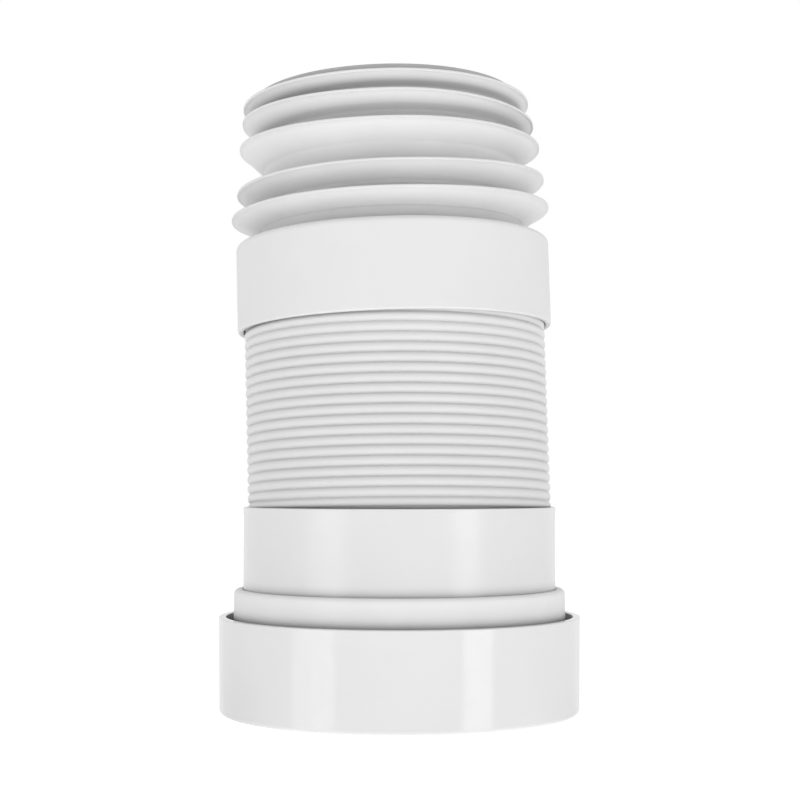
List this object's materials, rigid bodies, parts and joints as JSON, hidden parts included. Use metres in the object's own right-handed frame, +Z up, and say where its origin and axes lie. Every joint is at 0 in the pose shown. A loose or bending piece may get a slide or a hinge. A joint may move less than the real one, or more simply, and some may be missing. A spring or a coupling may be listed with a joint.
{
  "type": "toilet pan connector",
  "caption": "Extending toilet pan connector: finned outlet plug for a soil pipe, corrugated hose, and a sealed socket for the pan's horn.",
  "frame": {"origin": "centre of the seal cap's underside, on the surface it stands on", "axes": "+Z up along the inlet's bore, +X to the right and +Y away from the viewer in the picture"},
  "size_m": [0.1252, 0.1252, 0.2169],
  "materials": {
    "fin_seal": "matte soft white",
    "outlet_collar": "satin white",
    "corrugated_hose": "soft satin white",
    "inlet_collar": "gloss white",
    "inlet_seal": "matte soft white",
    "seal_cap": "gloss white"
  },
  "bodies": {
    "inlet_end": {"inlet_collar": "inlet_collar", "inlet_seal": "inlet_seal", "seal_cap": "seal_cap", "corrugated_hose": "corrugated_hose"},
    "outlet_end": {"outlet_collar": "outlet_collar", "fin_seal": "fin_seal"}
  },
  "joints": [
    {"name": "hose_extension", "type": "slide", "parent": "inlet_end", "child": "outlet_end", "axis": [-0.0279, 0.0349, 0.999], "range_m": [0, 0.12], "deforming": ["corrugated_hose"]}
  ]
}
